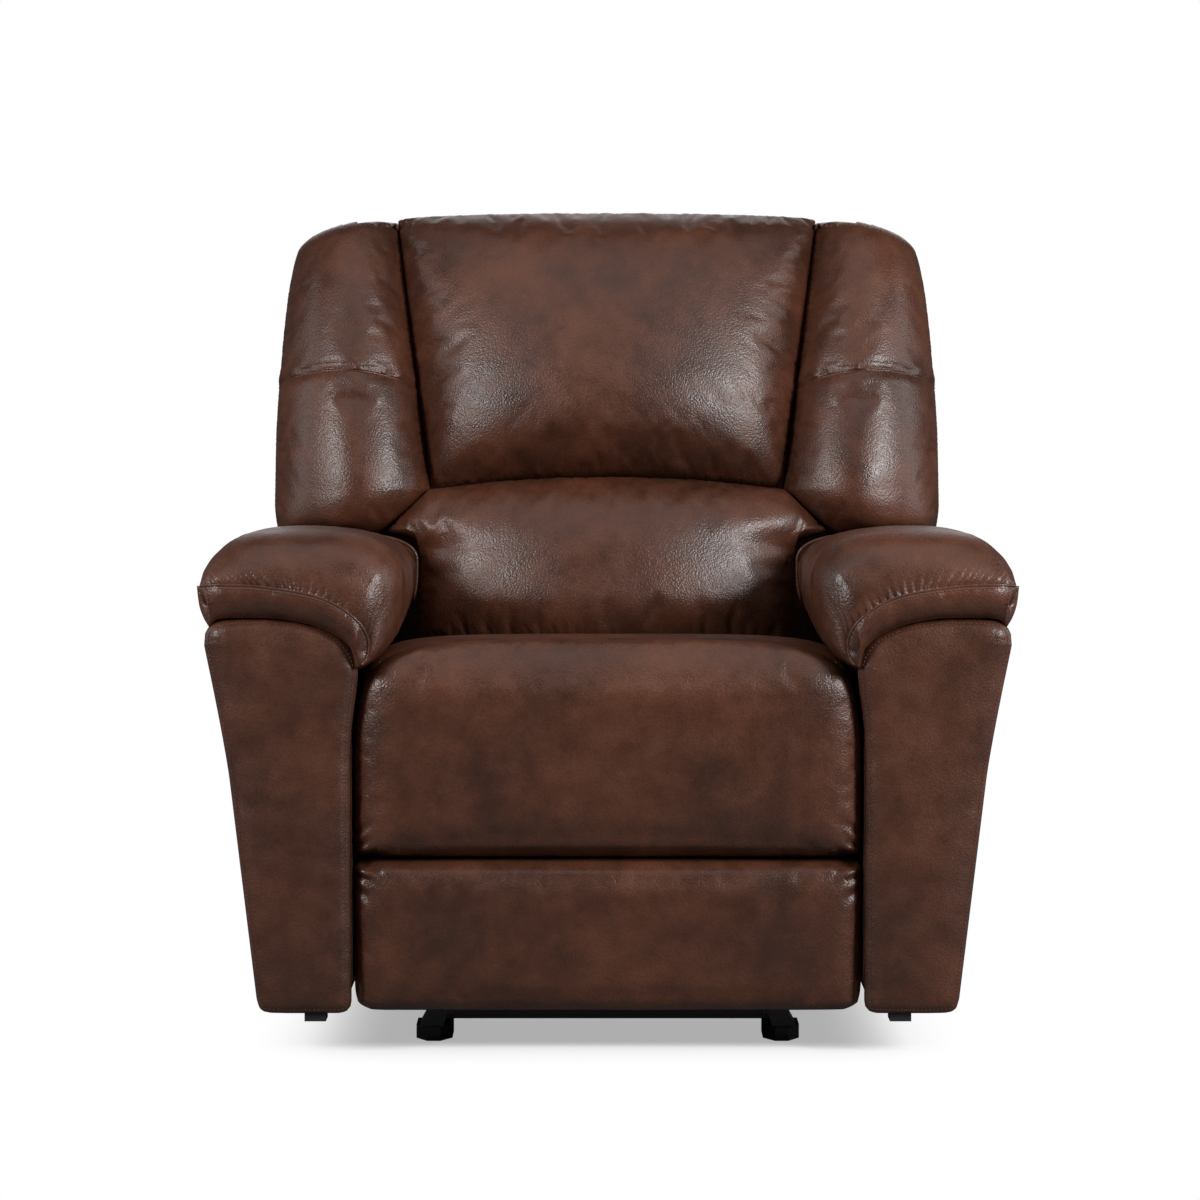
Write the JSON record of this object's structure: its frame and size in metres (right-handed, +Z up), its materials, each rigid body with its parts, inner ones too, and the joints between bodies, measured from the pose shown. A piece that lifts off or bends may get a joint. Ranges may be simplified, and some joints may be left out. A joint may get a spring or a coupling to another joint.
{
  "type": "power gliding recliner",
  "caption": "Padded leather recliner with pillow arms, split back and chaise footrest, on a black steel gliding base, with a power-driven recline linkage.",
  "frame": {"origin": "centre of the footprint, on the floor", "axes": "+Z up, -Y towards the front of the chair, +X to the right in the picture"},
  "size_m": [0.9888, 0.9601, 1.0474],
  "materials": {
    "cushion_leather": "dark red-brown pebbled leather over foam",
    "panel_leather": "dark red-brown pebbled leather",
    "wood": "plain hardwood and plywood",
    "zinc_steel": "zinc plated",
    "black_steel": "black powder coat",
    "black_plastic": "matte black",
    "black_lining": "black upholstery lining on board"
  },
  "bodies": {
    "base": {"base_frame": "black_steel", "base_feet": "black_plastic"},
    "front_swing_links": {"front_swing_link_left": "zinc_steel", "front_swing_link_right": "zinc_steel"},
    "rear_swing_links": {"rear_swing_link_left": "zinc_steel", "rear_swing_link_right": "zinc_steel"},
    "chassis": {"carriage_left": "black_steel", "carriage_right": "black_steel", "front_cross_tube": "black_steel", "rear_cross_tube": "black_steel", "side_rail_left": "black_steel", "side_rail_right": "black_steel", "arm_frame_left": "wood", "arm_frame_right": "wood", "arm_side_panel_left": "panel_leather", "arm_side_panel_right": "panel_leather", "arm_front_panel_left": "panel_leather", "arm_front_panel_right": "panel_leather", "arm_inner_panel_left": "panel_leather", "arm_inner_panel_right": "panel_leather", "arm_pad_left": "cushion_leather", "arm_pad_right": "cushion_leather", "rear_panel": "black_lining", "arm_glides": "black_plastic", "actuator_housing": "black_plastic", "actuator_rail": "black_steel", "lead_screw": "zinc_steel", "control_panel": "black_plastic", "power_inlet": "black_plastic"},
    "recline_button": {"recline_button": "zinc_steel"},
    "return_button": {"return_button": "zinc_steel"},
    "front_seat_links": {"front_torque_tube": "black_steel"},
    "rear_seat_links": {"rear_torque_tube": "black_steel"},
    "seat": {"seat_rail_left": "black_steel", "seat_rail_right": "black_steel", "seat_frame": "wood", "seat_front_tube": "black_steel", "seat_rear_tube": "black_steel", "seat_springs": "zinc_steel", "seat_cushion": "cushion_leather"},
    "footrest_main_links": {"footrest_main_links": "zinc_steel"},
    "footrest_bell_cranks": {"footrest_bell_cranks": "black_steel"},
    "footrest_front_links": {"footrest_front_links": "black_steel"},
    "footrest_rear_links": {"footrest_rear_links": "zinc_steel"},
    "footrest": {"footrest_board": "wood", "footrest_brackets": "black_steel", "footrest_upper_pad": "cushion_leather", "footrest_lower_pad": "cushion_leather"},
    "footrest_drive_rods": {"footrest_drive_rods": "zinc_steel"},
    "back_drive_rods": {"back_drive_rods": "zinc_steel"},
    "back": {"back_frame": "wood", "back_brackets": "black_steel", "back_springs": "zinc_steel", "back_upper_cushion": "cushion_leather", "lumbar_cushion": "cushion_leather", "wing_left": "cushion_leather", "wing_right": "cushion_leather", "outer_back_panel": "panel_leather"},
    "drive_block": {"drive_block": "zinc_steel"}
  },
  "joints": [
    {"name": "glide", "type": "hinge", "parent": "base", "child": "front_swing_links", "pos_m": [0, -0.17, 0.195], "axis": [1, 0, 0], "range_deg": [-18, 18]},
    {"name": "glide_level", "type": "hinge", "parent": "front_swing_links", "child": "chassis", "pos_m": [0, -0.17, 0.075], "axis": [1, 0, 0], "range_deg": [-18, 18]},
    {"name": "rear_glide", "type": "hinge", "parent": "base", "child": "rear_swing_links", "pos_m": [0, 0.13, 0.195], "axis": [1, 0, 0], "range_deg": [-18, 18]},
    {"name": "recline", "type": "hinge", "parent": "chassis", "child": "front_seat_links", "pos_m": [0, -0.222, 0.165], "axis": [1, 0, 0], "range_deg": [0, 40]},
    {"name": "seat_level", "type": "hinge", "parent": "front_seat_links", "child": "seat", "pos_m": [0, -0.18396, 0.24657], "axis": [1, 0, 0], "range_deg": [-40, 0]},
    {"name": "rear_seat_link", "type": "hinge", "parent": "chassis", "child": "rear_seat_links", "pos_m": [0, 0.08, 0.165], "axis": [1, 0, 0], "range_deg": [0, 40]},
    {"name": "back_recline", "type": "hinge", "parent": "seat", "child": "back", "pos_m": [0, 0.195, 0.262], "axis": [1, 0, 0], "range_deg": [-38, 0]},
    {"name": "footrest_main", "type": "hinge", "parent": "seat", "child": "footrest_main_links", "pos_m": [0, -0.32, 0.338], "axis": [1, 0, 0], "range_deg": [-88, 0]},
    {"name": "footrest_crank", "type": "hinge", "parent": "footrest_main_links", "child": "footrest_bell_cranks", "pos_m": [0, -0.235, 0.193], "axis": [1, 0, 0], "range_deg": [0, 88]},
    {"name": "footrest_front", "type": "hinge", "parent": "footrest_main_links", "child": "footrest_front_links", "pos_m": [0, -0.235, 0.133], "axis": [1, 0, 0], "range_deg": [0, 88]},
    {"name": "footrest_rear", "type": "hinge", "parent": "seat", "child": "footrest_rear_links", "pos_m": [0, -0.262, 0.324], "axis": [1, 0, 0], "range_deg": [-88, 0]},
    {"name": "footrest_turn", "type": "hinge", "parent": "footrest_bell_cranks", "child": "footrest", "pos_m": [0, -0.37, 0.335], "axis": [1, 0, 0], "range_deg": [-88, 0]},
    {"name": "footrest_drive", "type": "hinge", "parent": "front_seat_links", "child": "footrest_drive_rods", "pos_m": [0, -0.212, 0.3], "axis": [1, 0, 0], "range_deg": [-72, 0]},
    {"name": "back_drive", "type": "hinge", "parent": "rear_seat_links", "child": "back_drive_rods", "pos_m": [0, 0.1438, 0.2435], "axis": [1, 0, 0], "range_deg": [-69, 0]},
    {"name": "drive_slide", "type": "slide", "parent": "chassis", "child": "drive_block", "axis": [0, -1, 0], "range_m": [0, 0.0364]},
    {"name": "recline_button_press", "type": "slide", "parent": "chassis", "child": "recline_button", "axis": [0.9918, 0, 0.1279], "range_m": [0, 0.002], "stiffness_N_per_m": 250, "springref_m": -0.001},
    {"name": "return_button_press", "type": "slide", "parent": "chassis", "child": "return_button", "axis": [0.9918, 0, 0.1279], "range_m": [0, 0.002], "stiffness_N_per_m": 250, "springref_m": -0.001}
  ],
  "couplings": [
    {"joint": "glide_level", "follows": "glide", "ratio": -1},
    {"joint": "rear_glide", "follows": "glide", "ratio": 1},
    {"joint": "seat_level", "follows": "recline", "ratio": -1},
    {"joint": "rear_seat_link", "follows": "recline", "ratio": 1},
    {"joint": "back_recline", "follows": "recline", "ratio": -0.95},
    {"joint": "footrest_main", "follows": "recline", "ratio": -2.2},
    {"joint": "footrest_crank", "follows": "recline", "ratio": 2.2},
    {"joint": "footrest_front", "follows": "recline", "ratio": 2.2},
    {"joint": "footrest_rear", "follows": "recline", "ratio": -2.2},
    {"joint": "footrest_turn", "follows": "recline", "ratio": -2.2},
    {"joint": "footrest_drive", "follows": "recline", "ratio": -1.7975},
    {"joint": "back_drive", "follows": "recline", "ratio": -1.72},
    {"joint": "drive_slide", "follows": "recline", "m_per_rad": 0.052135}
  ]
}
